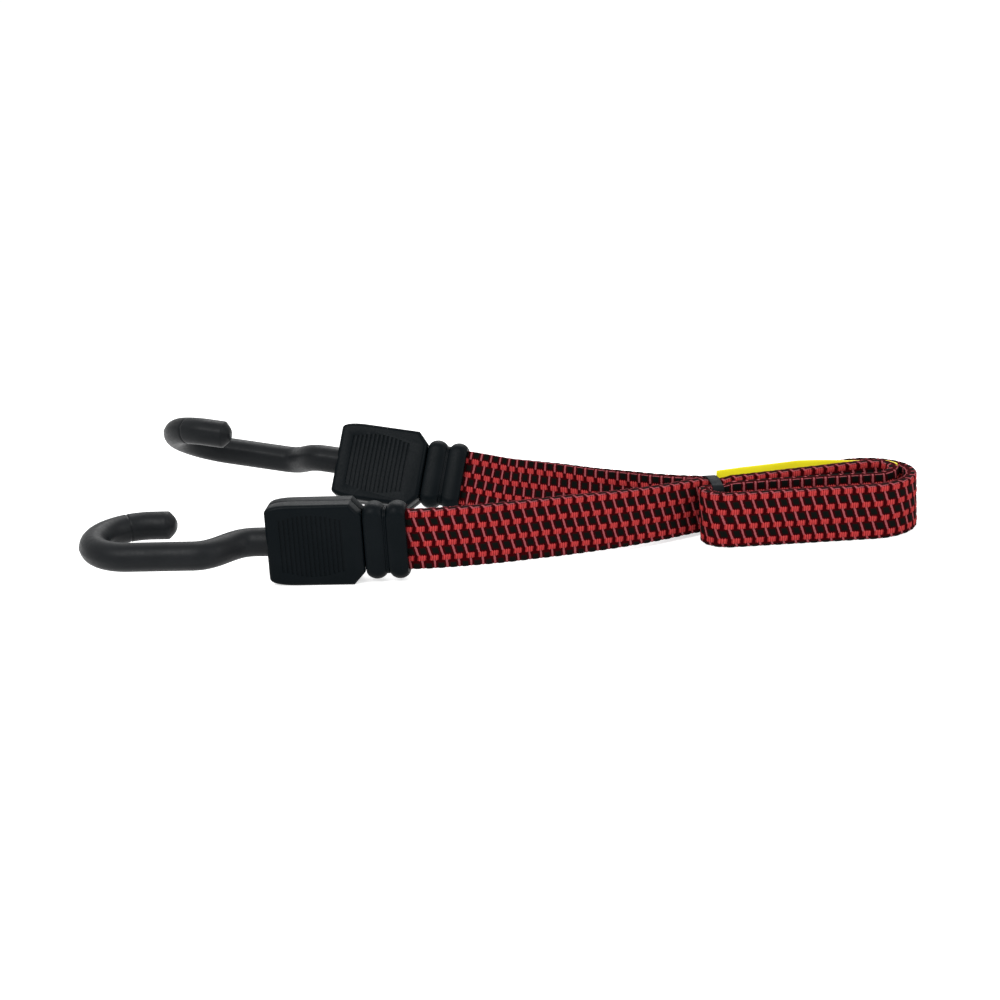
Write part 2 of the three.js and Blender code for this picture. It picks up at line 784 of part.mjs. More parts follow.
const sides = [
  { name: 'front', end: frontEnd, runs: armRuns(splitFront, 0, frontArmRoute, frontEnd), turned: false },
  { name: 'back', end: backEnd, runs: armRuns(splitBack, 0, backArmRoute, backEnd), turned: true }
]
for (const { name, end, runs, turned } of sides) {
  addPiece(part, `${name}_arm_strap`, sheath(runs.arm), woven)
  addPiece(part, `${name}_arm_core`, core(runs.arm), rubber)
  addPiece(part, `${name}_lead_strap`, sheath(runs.lead), woven)
  addPiece(part, `${name}_lead_core`, core(runs.lead), rubber)
  const fitting = new THREE.Group()
  addPiece(fitting, `${name}_tail_strap`, sheath(tailStations()), woven)
  addPiece(fitting, `${name}_tail_core`, core(tailStations()), rubber)
  addPiece(fitting, `${name}_strap_clamp`, strapClamp(), steel)
  addPiece(fitting, `${name}_collar`, collarSleeve(), moulded)
  addPiece(fitting, `${name}_head_shell_jog_side`, headShell(1), moulded)
  addPiece(fitting, `${name}_head_shell_tip_side`, headShell(-1), moulded)
  addPiece(fitting, `${name}_hook_wire`, hookWire(), steel)
  addPiece(fitting, `${name}_hook_coating`, hookCoating(), coating)
  placeEnd(fitting, end, turned)
  part.add(fitting)
}

const wound = leastGap(hankPoints)
const woundGap = wound.gap.toFixed(2)
console.log(`bundled strap: least gap to itself ${woundGap} mm, length ${wound.length.toFixed(1)} mm`)

// Origin at the middle of the footprint, on the surface that the cord lies on
part.updateMatrixWorld(true)
const reach = new THREE.Box3().setFromObject(part, true)
const middle = reach.getCenter(new THREE.Vector3())
part.position.set(-middle.x, -middle.y, -reach.min.z)

export default part
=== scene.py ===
import math
from functools import partial

import bpy
import numpy as np
from mathutils import Euler, Matrix, Vector


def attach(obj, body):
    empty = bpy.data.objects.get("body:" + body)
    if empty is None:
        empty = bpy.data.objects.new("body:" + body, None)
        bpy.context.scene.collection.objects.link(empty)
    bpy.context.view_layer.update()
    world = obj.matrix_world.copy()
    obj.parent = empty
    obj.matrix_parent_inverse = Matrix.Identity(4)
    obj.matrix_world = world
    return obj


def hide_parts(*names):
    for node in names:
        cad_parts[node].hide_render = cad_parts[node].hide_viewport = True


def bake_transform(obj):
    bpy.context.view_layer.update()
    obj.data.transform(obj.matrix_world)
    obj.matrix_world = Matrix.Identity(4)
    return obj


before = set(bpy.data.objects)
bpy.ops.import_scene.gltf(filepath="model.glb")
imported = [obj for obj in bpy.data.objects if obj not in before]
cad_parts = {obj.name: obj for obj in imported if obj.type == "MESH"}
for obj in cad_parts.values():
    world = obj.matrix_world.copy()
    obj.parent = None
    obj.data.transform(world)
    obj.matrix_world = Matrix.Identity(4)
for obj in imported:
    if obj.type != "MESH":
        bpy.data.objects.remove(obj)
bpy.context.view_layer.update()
print("frame loaded")

mm = 0.001
rowShift = np.array([-0.3183, -35.9508, 0.0922])  # from the route's own coordinates to the row frame

strapSizes = {
    "width": 18.0,
    "thickness": 3.5,
    "edge": 0.6,  # radius of the long edges
    "step": 0.35,  # along the strap
    "sides": 112,  # points round the strap
    "smoothing": 4,  # a station is smoothed over this many to each side
    "pathEvery": 6,  # the cord's path takes one station in this many
    "armX": 68.6,  # here an arm starts
    "swungX": 51.5,  # and here it has settled on its own direction
    "insideRoute": 13.7,  # how far the route runs on inside a collar
    "insideCollar": 4.0,  # how much of that is drawn
    "armSwell": 0.75,  # the arms' relaxed cloth is this much wider to each side
    "swellFade": (20.0, 60.0),  # the swell fades out between these places along x
    "lastRowShare": 0.955,  # the swell widens the plain band below this share of the face
    "bandPower": 6,
    "joinMargin": 1.5,
}
weaveSizes = {
    "pitch": 3.85,  # from one block to the next along a row
    "phase": 0.44,  # from the strap's start to its first block
    "bundlePhase": 0.48,  # what more it is after the folds
    "folds": (125.0, 253.0),  # along the strap
    "rowGap": 4.87,  # between the red rows of one face
    "firstRow": 2.69,  # from the middle of the top side to the outer face's first red row
    "rim": 1.5,  # from there to the painted highlight along the rim, with no red above it
    "rimFade": 0.2,
    "plainBottom": 1.9,
    "blockLong": 1.33,
    "blockWide": 0.9,
    "longOver": 0.1,  # a block stands up over this much more than its colour
    "wideOver": 0.08,
    "slant": 0.12,  # of a block
    "blackLong": 1.25,
    "stitchLean": 0.8,
    "leanRate": 1.7,
    "stitchWide": 0.36,
    "stitchOver": 0.2,
    "redRise": 0.17,
    "blackRise": 0.1,
    "stitchRise": 0.16,
    "valley": 0.12,  # depth between what rises
    "calmReach": 1.4,  # so near to the narrow sides it gets calmer
    "calmShare": 0.35,
}
bundleRoute = {
    "wallN": 1.75,
    "wallM": 13.75,
    "wallB": 17.75,
    "wallD": 22.3,
    "splitX": 69.0,
    "tieX": 71.6,
    "nearTie": 77.6,
    "opens": 0.25,  # how far the walls have moved apart beside the tie
    "backOpens": 0.5,
    "runOut": 99.05,
    "middleShort": 5.2,
    "middleOut": 1.0,
    "riseB": 10.0,
    "bendRise": 10.5,
    "rest": 9.0,
    "innerBend": (124.9, 19.95, 5.2),
    "outerBend": (120.15, 16.95, 15.2),
    "frontBendX": 66.65,
    "frontTight": 4.0,
    "frontWide": 8.0,
    "backTilt": 14.6,
    "middleTilt": 10.997,
    "pinch": 1.8,
    "pinchReach": 6.0,
}

# Each point of an arm has its place and its lean in degrees, given one by one along the photographed strap
frontArm = [
    (66, 17, 10.05, 0), (60.5, 14.2, 10.2, 0), (51.2, 9.4, 10.5, 0), (38.1, 3.9, 11, 0),
    (24.8, -0.4, 11.5, 0), (11.8, -4.2, 12, 0), (-1.2, -8, 12.5, 0), (-13.9, -11, 13.1, -0.7),
    (-22, -12.2, 13.4, -1.2),
]
backArm = [
    (66, 22.6, 9.05, 0), (57, 25.2, 9.15, 0), (50.4, 27.5, 9.2, 0.5), (44, 30.1, 9.3, 2),
    (34.1, 33.8, 9.4, 5.5), (27.6, 36.8, 9.4, 8.5), (17.6, 42.4, 9.5, 13.5), (7.6, 48.7, 9.7, 18.5),
    (0.8, 52.9, 10, 22.5), (-6, 56.8, 10.6, 26),
]
armLimits = {"endX": 69.5, "frontY": 18.5, "backY": 21.5}  # the arms lie before frontY and behind backY
ends = {
    "front": {
        "mouth": (-29.7, -12, 13.5), "yaw": 7.3, "pitch": 0.0, "lean": -1.5, "turned": 0.0, "leadX": 6.6,
        "collarStretch": 1.055,
    },
    "back": {
        "mouth": (-12, 59, 11.4), "yaw": 11.8, "pitch": 8.5, "lean": 28.5, "turned": 180.0, "leadX": 17.2,
        "collarStretch": 1.0,
    },
}
cameraSizes = {"lens": 79.2, "sensor": 36, "tilt": 73, "roll": -3.4, "place": (-0.318, -711.949, 227.68)}


def newObject(name, data):
    made = bpy.data.objects.new(name, data)
    bpy.context.scene.collection.objects.link(made)
    return made


# The camera stands where the photograph was taken
def aimCamera():
    data = bpy.data.cameras.new("camera")
    data.lens = cameraSizes["lens"]
    data.sensor_width = cameraSizes["sensor"]
    camera = newObject("camera", data)
    tilt = Matrix.Rotation(math.radians(cameraSizes["tilt"]), 4, "X")
    roll = Matrix.Rotation(math.radians(cameraSizes["roll"]), 4, "Z")
    camera.matrix_world = Matrix.Translation(Vector(cameraSizes["place"]) * mm) @ tilt @ roll
    bpy.context.scene.camera = camera


aimCamera()


def endMatrix(end):
    roll = math.radians(end["lean"] + end["turned"])
    turn = Euler((roll, math.radians(-end["pitch"]), math.pi - math.radians(end["yaw"])), "XYZ")
    place = Vector((np.array(end["mouth"]) + rowShift) * mm)
    return Matrix.Translation(place) @ turn.to_matrix().to_4x4()


# A smooth line through points, whose further columns change evenly between them
def lineThrough(points, perSpan=24):
    points = np.array(points, float)
    place = points[:, :3]
    padded = np.vstack([2 * place[0] - place[1], place, 2 * place[-1] - place[-2]])
    rows = []
    for i in range(len(place) - 1):
        a, b, c, d = padded[i : i + 4]
        gaps = [max(np.linalg.norm(q - p) ** 0.5, 1e-4) for p, q in ((a, b), (b, c), (c, d))]
        leave = ((b - a) / gaps[0] - (c - a) / (gaps[0] + gaps[1]) + (c - b) / gaps[1]) * gaps[1]
        arrive = ((c - b) / gaps[1] - (d - b) / (gaps[1] + gaps[2]) + (d - c) / gaps[2]) * gaps[1]
        for t in np.arange(perSpan) / perSpan:
            spot = b + leave * t + (3 * (c - b) - 2 * leave - arrive) * t**2
            spot = spot + (2 * (b - c) + leave + arrive) * t**3
            rows.append(np.concatenate([spot, points[i, 3:] * (1 - t) + points[i + 1, 3:] * t]))
    rows.append(points[-1])
    return np.array(rows)


def arcOf(x, y, radius, fromAngle, toAngle, startHeight, endHeight, steps=48):
    share = np.linspace(0, 1, steps + 1)
    angle = np.radians(fromAngle + (toAngle - fromAngle) * share)
    height = startHeight + (endHeight - startHeight) * share
    return np.stack([x + radius * np.cos(angle), y + radius * np.sin(angle), height, 0 * share], -1)


# How far each point is along its line
def runOf(line):
    return np.concatenate([[0], np.cumsum(np.linalg.norm(np.diff(line, axis=0), axis=1))])


def wholeRoute():
    own = bundleRoute
    rest = own["rest"]
    inner = arcOf(*own["innerBend"], 90 + own["middleTilt"], -90, own["bendRise"], rest)
    outer = arcOf(*own["outerBend"], -90, 90 + own["backTilt"], rest, rest)
    tight, wide = own["frontTight"], own["frontWide"]
    bend = np.vstack([
        arcOf(own["frontBendX"] + tight, own["wallM"] - tight, tight, 90, 180, rest, rest),
        arcOf(own["frontBendX"] + wide, own["wallN"] + wide, wide, 180, 270, rest, rest),
    ])

    def onLine(point, tilt):
        return point[1] - (point[0] - own["runOut"]) * math.tan(math.radians(tilt))

    wallB = lineThrough([
        (own["splitX"], own["wallB"], own["riseB"], 0),
        (own["tieX"], own["wallB"], own["riseB"], 0),
        (own["nearTie"], own["wallB"] + own["opens"], own["riseB"], 0),
        (own["runOut"], onLine(inner[0], own["middleTilt"]), own["bendRise"], 0),
        inner[0],
    ])
    wallM = lineThrough([
        inner[-1],
        (own["runOut"] - own["middleShort"], own["wallM"] + own["middleOut"], rest, 0),
        (own["nearTie"], own["wallM"] + own["opens"], rest, 0),
        bend[0],
    ])
    wallD = lineThrough([
        outer[-1],
        (own["runOut"], onLine(outer[-1], own["backTilt"]), rest, 0),
        (own["nearTie"], own["wallD"] + own["backOpens"], rest, 0),
        (own["tieX"], own["wallD"], rest, 0),
        (own["splitX"], own["wallD"], rest, 0),
    ])
    arms = []
    for route, start, end in ((frontArm, (own["splitX"], own["wallB"], own["riseB"], 0), ends["front"]),
                              (backArm, (own["splitX"], own["wallD"], rest, 0), ends["back"])):
        mouth = np.array(end["mouth"], float)
        inside = mouth + np.array(endMatrix(end).to_3x3().col[0]) * strapSizes["insideRoute"]
        arms.append(lineThrough([start, *route, (*mouth, end["lean"]), (*inside, end["lean"])]))
    front = arms[0][::-1]
    back = arms[1] * [1, 1, 1, -1]  # the strap runs the other way here, so its lean changes hand
    parts = [front, wallB, inner, wallM, bend, outer, wallD, back]
    return np.vstack([parts[0]] + [part[1:] for part in parts[1:]]), wallD


# Evenly spaced stations along the strap, from inside the front collar to inside the back one
def layStations():
    own, bundle = strapSizes, bundleRoute
    route, wallD = wholeRoute()
    gone = runOf(route[:, :3])
    keep = np.concatenate([[True], np.diff(gone) > 1e-6])
    route, gone = route[keep], gone[keep]
    count = int(round(gone[-1] / own["step"]))
    at = np.linspace(0, gone[-1], count + 1)
    even = np.stack([np.interp(at, gone, route[:, k]) for k in range(4)], -1)
    reach = own["smoothing"]
    weight = np.hanning(2 * reach + 3)[1:-1]
    weight /= weight.sum()
    soft = even.copy()
    for k in range(4):
        soft[reach:-reach, k] = np.convolve(even[:, k], weight, "valid")
    away = np.abs(soft[:, 0] - bundle["tieX"]) / bundle["pinchReach"]
    under = (away < 1) & (soft[:, 1] > bundle["wallN"] + bundle["frontWide"])
    pinch = np.where(under, bundle["pinch"] * np.cos(np.clip(away, 0, 1) * math.pi / 2) ** 2, 0)
    swell = np.interp(soft[:, 0], own["swellFade"], (1, 0)) * own["armSwell"]
    half = (own["width"] - pinch) / 2 + swell
    lean = np.radians(soft[:, 3])
    below = half * np.cos(lean) + own["thickness"] / 2 * np.abs(np.sin(lean)) + weaveSizes["redRise"]
    soft[:, 2] = np.maximum(soft[:, 2], below - rowShift[2])  # the cloth stays on the floor
    way = np.gradient(soft[:, :3], axis=0)
    way /= np.linalg.norm(way, axis=1)[:, None]
    left = np.stack([-way[:, 1], way[:, 0], 0 * way[:, 0]], -1)
    left /= np.linalg.norm(left, axis=1)[:, None]
    across = np.cross(way, left) * np.cos(lean)[:, None] + left * np.sin(lean)[:, None]
    after = np.interp(at, weaveSizes["folds"], (0, 1))
    weave = at - weaveSizes["phase"] - weaveSizes["bundlePhase"] * after
    laid = {
        "middle": soft[:, :3], "across": across, "outward": np.cross(way, across), "half": half, "gone": at,
        "weave": weave,
    }
    return laid, wallD


stations, wallDLine = layStations()
print("strap laid out,", round(float(stations["gone"][-1]), 1), "mm")

aroundStrap = 2 * (strapSizes["width"] + strapSizes["thickness"]) - (8 - 2 * math.pi) * strapSizes["edge"]


# How far s is along its row from the middle of the nearest block
def fromBlock(s, row):
    pitch = weaveSizes["pitch"]
    return ((s / pitch - row / 2 + 0.5) % 1 - 0.5) * pitch


# A bump that is 1 in its middle, stays nearly flat and is 0 at half its width
def flatBump(distance, half, power=4):
    return np.clip(1 - np.abs(distance / half) ** power, 0, 1)


# Height of the woven surface over its mean, in millimetres, at s along the strap and p round it.
# The cloth is double: where the outer face shows a red row the inner face shows a black one.
def weaveHeight(s, p):
    own = weaveSizes
    inner = np.where(p > aroundStrap / 2, 1.0, 0.0)
    overFace = np.minimum(p, aroundStrap - p)
    fromBottom = aroundStrap / 2 - overFace
    rowAt = (overFace - own["firstRow"]) / own["rowGap"] + inner / 2
    row = np.floor(rowAt + 0.5)
    across = (rowAt - row) * own["rowGap"]
    along = fromBlock(s + own["slant"] * across, row)
    onFace = np.clip((overFace - own["rim"]) / own["rimFade"] + 1, 0, 1)
    onFace = onFace * np.clip((fromBottom - own["plainBottom"]) / own["rimFade"], 0, 1)
    red = flatBump(along, own["blockLong"] + own["longOver"])
    red = red * flatBump(across, own["blockWide"] + own["wideOver"]) * onFace
    below = np.floor(rowAt)
    acrossGap = (rowAt - below - 0.5) * own["rowGap"]
    lean = (acrossGap / own["rowGap"] * own["leanRate"] + 0.5) * own["stitchLean"] * (1 - inner)
    fromStitch = fromBlock(s - lean, below)
    gapHalf = own["rowGap"] / 2 - own["blockWide"]
    black = flatBump(np.abs(fromStitch) - own["pitch"] / 2, own["blackLong"]) * flatBump(acrossGap, gapHalf)
    stitch = np.exp(-((fromStitch / own["stitchWide"]) ** 2))
    stitch = stitch * flatBump(acrossGap, gapHalf + own["stitchOver"], 6)
    relief = red * (own["redRise"] + own["valley"]) + black * (own["blackRise"] + own["valley"])
    relief = relief + stitch * own["stitchRise"] - own["valley"]
    return relief * np.clip(np.minimum(overFace, fromBottom) / own["calmReach"], own["calmShare"], 1)


# The strap's section, from the middle of its top side down the outer face and up the inner face
def sectionAt(p, half):
    own = strapSizes
    radius = own["edge"]
    lid = own["thickness"] / 2 - radius
    flat = own["width"] - 2 * radius
    quarter = math.pi * radius / 2
    folded = np.minimum(p, aroundStrap - p)  # the inner face mirrors the outer one
    side = np.where(p > aroundStrap / 2, -1.0, 1.0)
    upper = np.clip((folded - lid) / quarter, 0, 1)
    lower = np.clip((folded - lid - quarter - flat) / quarter, 0, 1)
    angle = (upper + lower) * math.pi / 2
    drop = np.clip((folded - lid - quarter) / flat, 0, 1)
    out = np.minimum(np.minimum(folded, lid), aroundStrap / 2 - folded) + radius * np.sin(angle)
    band = np.clip((drop - own["lastRowShare"]) / (1 - own["lastRowShare"]), 0, 1) ** own["bandPower"]
    spare = np.maximum(half - own["width"] / 2, 0)
    high = (half - spare - radius)[:, None] * (1 - 2 * drop)[None, :]
    high = high + spare[:, None] * (1 - 2 * band)[None, :]
    return side * out, high + radius * np.cos(angle)[None, :], side * np.sin(angle), np.cos(angle)


def strapPiece(name, first, last):
    sides = strapSizes["sides"]
    span = slice(first, last + 1)
    middle, across, outward = (stations[word][span] for word in ("middle", "across", "outward"))
    half, weave = stations["half"][span], stations["weave"][span]
    p = np.arange(sides) * aroundStrap / sides
    out, high, outNormal, upNormal = sectionAt(p, half)
    rise = weaveHeight(weave[:, None], p[None, :])
    x = out[None, :] + rise * outNormal[None, :]
    y = high + rise * upNormal[None, :]
    points = middle[:, None, :] + outward[:, None, :] * x[..., None] + across[:, None, :] * y[..., None]
    points = (points + rowShift) * mm
    rings = len(points)
    r, c = np.meshgrid(np.arange(rings - 1), np.arange(sides), indexing="ij")
    here, ahead, nextC = r * sides, (r + 1) * sides, (c + 1) % sides
    quads = np.stack([here + c, here + nextC, ahead + nextC, ahead + c], -1).reshape(-1, 4)
    faces = quads.tolist() + [list(range(sides))[::-1], [(rings - 1) * sides + k for k in range(sides)]]
    mesh = bpy.data.meshes.new(name)
    mesh.from_pydata(points.reshape(-1, 3), [], faces)
    uv = mesh.uv_layers.new(name="weave")
    s0, s1 = weave[r], weave[r + 1]
    p0, p1 = p[c], p[c] + aroundStrap / sides
    corners = np.stack([np.stack(pair, -1) for pair in ((s0, p0), (s0, p1), (s1, p1), (s1, p0))], -2)
    capEnds = [[weave[0], place] for place in p[::-1]] + [[weave[-1], place] for place in p]
    uv.data.foreach_set("uv", np.concatenate([corners.reshape(-1), np.array(capEnds).reshape(-1)]))
    mesh.polygons.foreach_set("use_smooth", [True] * len(faces))
    mesh.update()
    return newObject(name, mesh)


def onArm(point, side):
    beside = point[1] < armLimits["frontY"] if side == "front" else point[1] > armLimits["backY"]
    return beside and point[0] < armLimits["endX"]


# The arm's station that is nearest to a place along x
def stationAtX(x, side):
    middle = stations["middle"]
    half = len(middle) // 2
    span = range(half) if side == "front" else range(len(middle) - 1, half, -1)
    return min((i for i in span if onArm(middle[i], side)), key=lambda i: abs(middle[i, 0] - x))


def makeStrap():
    own = strapSizes
    depth = int(round(own["insideCollar"] / own["step"]))
    pieces = {}
    splits = []
    for side, sign in (("front", 1), ("back", -1)):
        split = stationAtX(own["armX"], side)
        swung = stationAtX(own["swungX"], side)
        lead = stationAtX(ends[side]["leadX"], side)
        mouth = stationAtX(ends[side]["mouth"][0], side)
        arm, leadBody = f"{side}_arm", f"{side}_lead"
        plan = [
            ("SwingStrap", split, swung, swung, "bundle", arm, [f"{arm}_strap"]),
            ("StretchStrap", swung, lead, lead, arm, leadBody, [f"{arm}_core"]),
            ("TwistStrap", lead, mouth - sign * depth, mouth, leadBody, f"{side}_end",
             [f"{leadBody}_strap", f"{leadBody}_core"]),
        ]
        for word, start, stop, settled, near, far, nodes in plan:
            piece = strapPiece(side + word, min(start, stop), max(start, stop))
            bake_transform(piece)
            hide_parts(*nodes)
            pieces[side + word] = piece
        splits.append(split)
    first, last = splits
    hank = strapPiece("bundleStrap", first, last)
    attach(hank, "bundle")
    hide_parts("hank_strap", "hank_core")
    pieces["bundleStrap"] = hank
    return pieces


strapPieces = makeStrap()


# Turns an sRGB hex into the linear colour that a socket takes
def linear(hexCode):
    channels = [int(hexCode[i : i + 2], 16) / 255 for i in (1, 3, 5)]
    return tuple(c / 12.92 if c <= 0.04045 else ((c + 0.055) / 1.055) ** 2.4 for c in channels) + (1.0,)


# Fills a node's inputs, by number or by name, with values or with other nodes' outputs
def fillInputs(node, inputs):
    for place, value in inputs.items():
        if isinstance(value, bpy.types.NodeSocket):
            node.id_data.links.new(value, node.inputs[place])
        else:
            node.inputs[place].default_value = value


# Adds one node and returns an output. Values fill its inputs in order, capitalised names fill them by name,
# and other names are settings.
def addNode(tree, kind, *values, output=0, **named):
    made = tree.nodes.new("ShaderNode" + kind)
    inputs = dict(enumerate(values))
    for name, value in named.items():
        if name[0].isupper():
            inputs[name] = value
        else:
            setattr(made, name, value)
    fillInputs(made, inputs)
    return made.outputs[output]


def newMaterial(name, roughness, specular, metallic=0.0):
    material = bpy.data.materials.new(name)
    material.use_nodes = True
    tree = material.node_tree
    shader = tree.nodes["Principled BSDF"]
    fillInputs(shader, {"Roughness": roughness, "Specular IOR Level": specular, "Metallic": metallic})
    return material, partial(addNode, tree), shader


smoothStep = {"interpolation_type": "SMOOTHSTEP"}
clothLook = {
    "roughness": 0.85,
    "specular": 0.015,
    "redDeep": "#842022",
    "redBright": "#b94140",
    "redMottle": "#9c2a30",
    "ground": "#310205",
    "black": "#0f100e",
    "stitch": "#964a4f",
    # Painted highlight: the colour of the pale line along the rim
    "rimHighlight": "#8f484e",
    "threadPitch": 0.72,  # the threads of a red block
    "threadShade": (-1.0, 0.6),
    "threadShare": 0.6,
    "ragged": 0.12,
    "wobblesPerMm": 1.6,
    "wobbleAlong": 0.35,
    "wobbleAcross": -0.3,
    "mottlesPerMm": 0.9,
    "mottleShare": 0.35,
    "yarnPitch": 0.36,
    "yarnShare": 0.25,
    "fuzzPerMm": 7,
    "fuzzShare": 0.8,
    "bump": 0.5,
    "bumpHeight": 0.08,
    # Where each colour starts to show and where it is full, in millimetres from its nominal edge
    "blockEnd": (0.05, -0.12),
    "blockSide": (0.02, -0.14),
    "rimEdge": (-0.15, 0.05),
    "bottomEdge": (0.1, -0.1),
    "blackEnd": (0.82, 1.06),
    "blackSide": (-0.36, -0.62),
    "stitchSide": (0.43, 0.21),
    "stitchEnd": (0.3, 0.05),
    "highlightSide": (0.26, 0.1),
    "highlightEnd": (0.0, -0.3),
}


# Elastic webbing, woven from dyed polyester yarn round rubber: blocks of matt colour with soft, ragged edges
# and almost no shine, with painted shade on the red threads and a painted highlight along the rim. Its yarns
# are too fine to show, so they are drawn 0.36 and 0.72 mm apart.
def wovenFabric():
    own, look = weaveSizes, clothLook
    material, add, shader = newMaterial("wovenElasticSheath", look["roughness"], look["specular"])
    spot = add("UVMap", uv_map="weave")
    alongStrap, roundStrap = (add("SeparateXYZ", spot, output=place) for place in (0, 1))
    wobble = add("TexNoise", spot, Scale=look["wobblesPerMm"])
    wobble = add("Math", wobble, 0.5, operation="SUBTRACT")
    u = add("Math", wobble, look["wobbleAlong"], alongStrap, operation="MULTIPLY_ADD")
    inner = add("Math", roundStrap, aroundStrap / 2, operation="GREATER_THAN")
    overFace = add("Math", aroundStrap, roundStrap, operation="SUBTRACT")
    overFace = add("Math", roundStrap, overFace, operation="MINIMUM")
    v = add("Math", wobble, look["wobbleAcross"], overFace, operation="MULTIPLY_ADD")
    rowAt = add("Math", v, own["firstRow"], operation="SUBTRACT")
    rowAt = add("Math", rowAt, own["rowGap"], operation="DIVIDE")
    rowAt = add("Math", inner, 0.5, rowAt, operation="MULTIPLY_ADD")

    # How far a point is along its row from the middle of the nearest block
    def alongRow(row, shift):
        half = own["pitch"] / 2
        place = add("Math", row, -half, add("Math", u, shift, operation="SUBTRACT"), operation="MULTIPLY_ADD")
        return add("Math", place, half, -half, operation="WRAP")

    # A colour's share at a point is 1 well inside its edges. Each edge has a distance, a place and a fade
    def cover(*edges):
        share = 1.0
        for distance, place, fade in edges:
            inside = add("MapRange", distance, *(place + part for part in look[fade]), **smoothStep)
            share = add("Math", share, inside, operation="MULTIPLY")
        return share

    # Red blocks: each is a float of threads that lie across the strap
    row = add("Math", rowAt, operation="ROUND")
    across = add("Math", add("Math", rowAt, row, operation="SUBTRACT"), own["rowGap"], operation="MULTIPLY")
    along = alongRow(row, add("Math", across, -own["slant"], operation="MULTIPLY"))
    thread = add("Math", along, 2 * math.pi / look["threadPitch"], operation="MULTIPLY")
    thread = add("Math", thread, operation="COSINE")
    fromEnd = add("Math", along, operation="ABSOLUTE")
    fromSide = add("Math", add("Math", across, operation="ABSOLUTE"),
                   add("Math", thread, look["ragged"], operation="MULTIPLY"), operation="SUBTRACT")
    bottom = aroundStrap / 2 - own["plainBottom"]
    red = cover((fromEnd, own["blockLong"], "blockEnd"), (fromSide, own["blockWide"], "blockSide"),
                (v, own["rim"], "rimEdge"), (v, bottom, "bottomEdge"))

    # Black rows between them: dark blocks, and a dull pink stitch from each red block to the next row
    below = add("Math", rowAt, operation="FLOOR")
    acrossGap = add("Math", add("Math", rowAt, below, operation="SUBTRACT"), 0.5, operation="SUBTRACT")
    acrossGap = add("Math", acrossGap, own["rowGap"], operation="MULTIPLY")
    lean = add("Math", acrossGap, own["leanRate"] / own["rowGap"], 0.5, operation="MULTIPLY_ADD")
    outerLean = add("Math", inner, -own["stitchLean"], own["stitchLean"], operation="MULTIPLY_ADD")
    fromStitch = alongRow(below, add("Math", lean, outerLean, operation="MULTIPLY"))
    fromStitch = add("Math", fromStitch, operation="ABSOLUTE")
    fromMiddle = add("Math", acrossGap, operation="ABSOLUTE")
    gapHalf = own["rowGap"] / 2 - own["blockWide"]
    black = cover((fromStitch, 0, "blackEnd"), (fromMiddle, gapHalf, "blackSide"))
    stitch = cover((fromStitch, 0, "stitchSide"), (fromMiddle, gapHalf, "stitchEnd"))

    # Painted highlight: a pale line along the top edge of every edge block, where light catches the rim
    fromRim = add("Math", add("Math", v, own["rim"], operation="SUBTRACT"), operation="ABSOLUTE")
    alongRim = add("Math", alongRow(inner, 0.0), operation="ABSOLUTE")
    rim = cover((fromRim, 0, "highlightSide"), (alongRim, own["blockLong"], "highlightEnd"))

    mottle = add("TexNoise", spot, Scale=look["mottlesPerMm"])
    mottle = add("Math", mottle, look["mottleShare"], operation="MULTIPLY")
    # Painted shade: each red thread is darker at its sides than along its crest, mixed from the deep and
    # bright reds
    shade = add("MapRange", thread, *look["threadShade"], **smoothStep)
    redThread = add("MixRGB", shade, linear(look["redDeep"]), linear(look["redBright"]))
    redThread = add("MixRGB", mottle, redThread, linear(look["redMottle"]))
    colour = add("MixRGB", black, linear(look["ground"]), linear(look["black"]))
    # The last layer is the painted highlight along the rim
    for share, over in ((stitch, linear(look["stitch"])), (red, redThread), (rim, linear(look["rimHighlight"]))):
        colour = add("MixRGB", share, colour, over)

    yarn = add("Math", alongStrap, 2 * math.pi / look["yarnPitch"], operation="MULTIPLY")
    yarn = add("Math", add("Math", yarn, operation="COSINE"), look["yarnShare"], operation="MULTIPLY")
    fuzz = add("TexNoise", spot, Scale=look["fuzzPerMm"])
    height = add("Math", fuzz, look["fuzzShare"], yarn, operation="MULTIPLY_ADD")
    ribbed = add("Math", thread, red, operation="MULTIPLY")
    height = add("Math", ribbed, look["threadShare"], height, operation="MULTIPLY_ADD")
    bump = add("Bump", Strength=look["bump"], Distance=look["bumpHeight"] * mm, Height=height)
    fillInputs(shader, {"Base Color": colour, "Normal": bump})
    return material


plasticLook = {
    "cloudsPerMm": 0.09,
    "cloudDetail": 3,
    "cloudSpan": (0.35, 0.7),
    "grainSpan": (0.2, 0.8),
    "smoother": 0.06,
    "rougher": 0.08,
    "bump": 0.35,
}


# Moulded and coated faces: an even colour with faint clouds of wear. The grain is the mould's fine matt
# texture, which is too fine to show, so it is drawn about ten times as coarse.
def mouldedPlastic(name, look):
    own = plasticLook
    roughness = look["roughness"]
    material, add, shader = newMaterial(name, roughness, look["specular"])
    spot = add("TexCoord", output="Object")
    clouds = add("TexNoise", spot, Scale=own["cloudsPerMm"] / mm, Detail=own["cloudDetail"])
    clouds = add("MapRange", clouds, *own["cloudSpan"], **smoothStep)
    colour = add("MixRGB", clouds, linear(look["colour"]), linear(look["worn"]))
    grain = add("TexNoise", spot, Scale=look["grainsPerMm"] / mm)
    uneven = (roughness - own["smoother"], roughness + own["rougher"])
    rough = add("MapRange", grain, *own["grainSpan"], *uneven, **smoothStep)
    bump = add("Bump", Strength=own["bump"], Distance=look["depth"] * mm, Height=grain)
    fillInputs(shader, {"Base Color": colour, "Roughness": rough, "Normal": bump})
    return material


steelLook = {
    "roughness": 0.35, "specular": 0.5, "dark": "#8e9092", "pale": "#b4b6b8", "streaksPerMm": 0.4,
    "span": (0.3, 0.7), "uneven": (0.28, 0.45),
}


